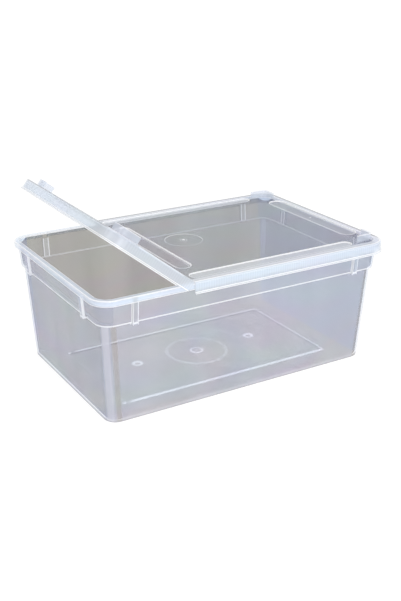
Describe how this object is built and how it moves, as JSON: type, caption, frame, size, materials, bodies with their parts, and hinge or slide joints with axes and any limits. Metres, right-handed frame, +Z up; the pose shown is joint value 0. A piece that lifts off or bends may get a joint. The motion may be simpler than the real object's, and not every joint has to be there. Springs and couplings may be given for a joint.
{
  "type": "plastic pet keeper",
  "caption": "Clear plastic keeper box for small pets or insects, with a lift-off lid and a film-hinged hatch flap.",
  "frame": {"origin": "centre of the tub's outline, on the surface that the tub stands on", "axes": "+X along the long side, from the flap to the far end of the lid; +Y from front to back; +Z up, out of the lid"},
  "size_m": [0.2975, 0.2, 0.1733],
  "materials": {
    "tub_plastic": "clear polypropylene, polished outside, slightly milky",
    "lid_plastic": "clear polypropylene, smooth, slightly milky"
  },
  "bodies": {
    "tub": {"tub": "tub_plastic"},
    "lid": {"lid": "lid_plastic", "film_hinge": "lid_plastic"},
    "flap": {"flap": "lid_plastic"}
  },
  "joints": [
    {"name": "lid_lift", "type": "slide", "parent": "tub", "child": "lid", "axis": [0, 0, 1], "range_m": [0, 0.06]},
    {"name": "flap_hinge", "type": "hinge", "parent": "lid", "child": "flap", "pos_m": [-0.06, 0, 0.1186], "axis": [0, 1, 0], "range_deg": [-38.5, 134.5]}
  ]
}
